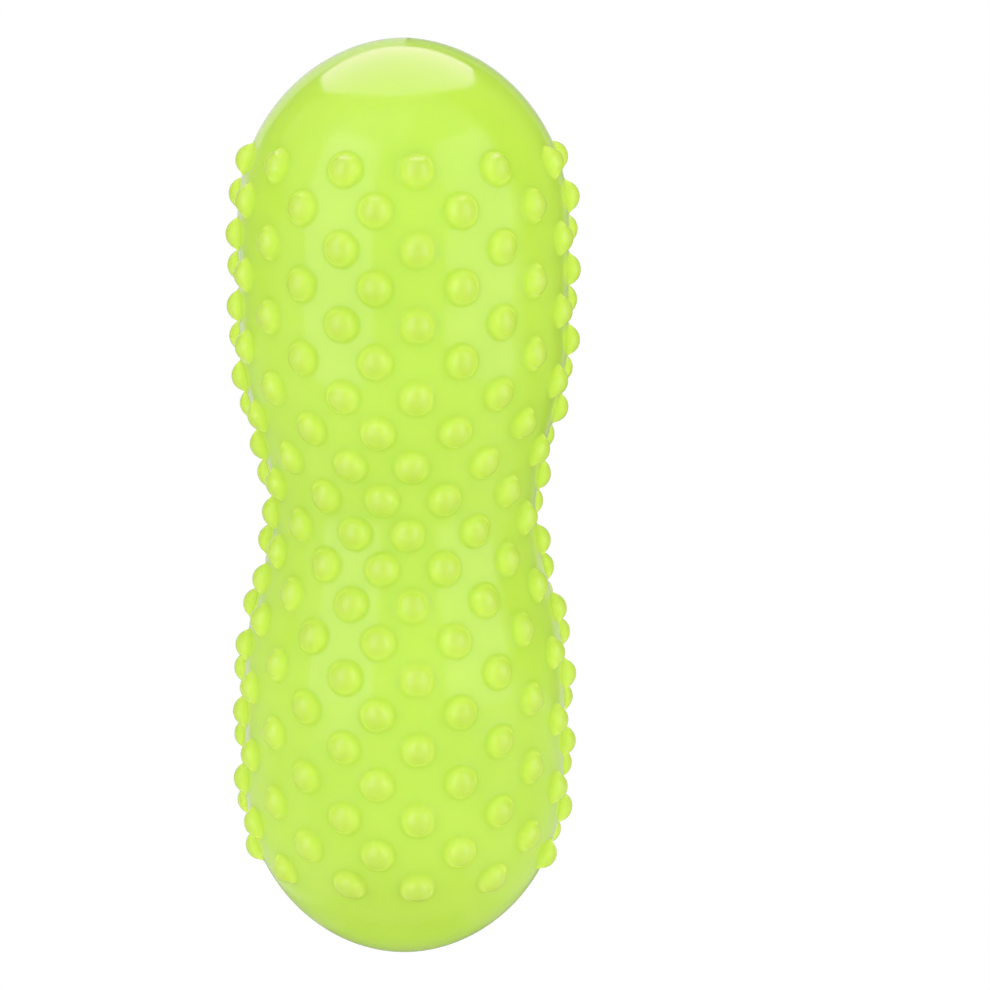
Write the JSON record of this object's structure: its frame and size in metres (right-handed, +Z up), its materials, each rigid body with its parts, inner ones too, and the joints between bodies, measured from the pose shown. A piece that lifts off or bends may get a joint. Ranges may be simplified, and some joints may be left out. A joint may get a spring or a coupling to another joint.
{
  "type": "studded inflatable peanut balance pad",
  "caption": "Soft lime inflatable balance pad shaped like a peanut, with round moulded studs around both lobes and waist, smooth domed ends and a needle valve in one end.",
  "frame": {"origin": "on the floor under the middle of the pad, where it rests on its lowest studs", "axes": "+Y along the pad's long axis, away from the valve end; +Z up; +X across the pad"},
  "size_m": [0.0926, 0.246, 0.0922],
  "materials": {
    "soft_pvc": "glossy soft PVC, slightly translucent",
    "seat_pvc": "satin moulded PVC",
    "valve_rubber": "matt black rubber"
  },
  "bodies": {
    "root": {"skin": "soft_pvc", "valve_seat": "seat_pvc", "valve_core": "valve_rubber"}
  },
  "joints": []
}
